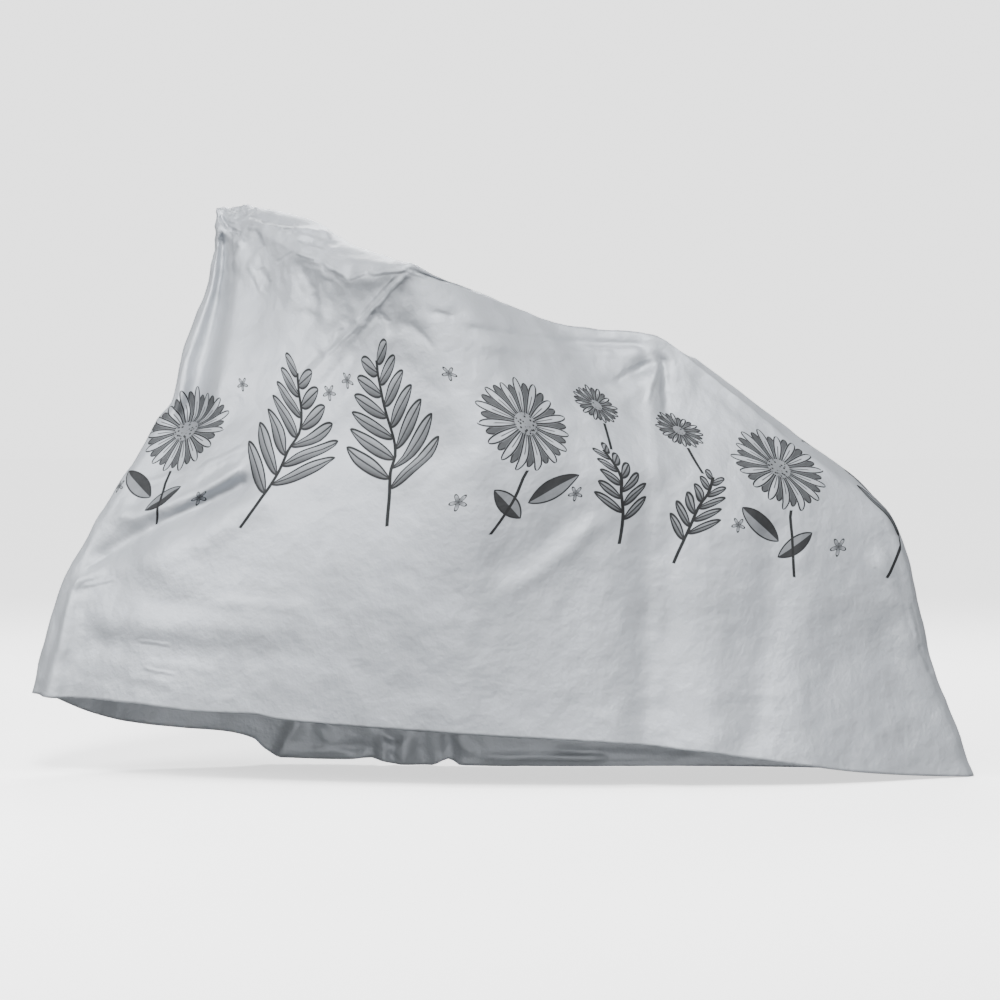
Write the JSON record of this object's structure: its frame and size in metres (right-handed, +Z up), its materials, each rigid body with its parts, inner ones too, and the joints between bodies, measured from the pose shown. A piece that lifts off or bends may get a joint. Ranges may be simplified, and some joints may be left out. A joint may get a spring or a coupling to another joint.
{
  "type": "two-wheeler cover",
  "caption": "Draped plastic film cover, hollow and open at the bottom, that hangs over a parked two-wheeler and keeps it dry and clean.",
  "frame": {"origin": "inside the roof of the cover, at the middle of the line between its two raised corners, where a handlebar carries it", "axes": "+X towards the low rear end, -Y towards the printed near side, +Z up"},
  "size_m": [1.875, 0.5665, 1.1387],
  "materials": {
    "silver_film": "thin silver-grey plastic film with a satin face and a dark printed band"
  },
  "bodies": {
    "root": {"cover_film": "silver_film"}
  },
  "joints": []
}
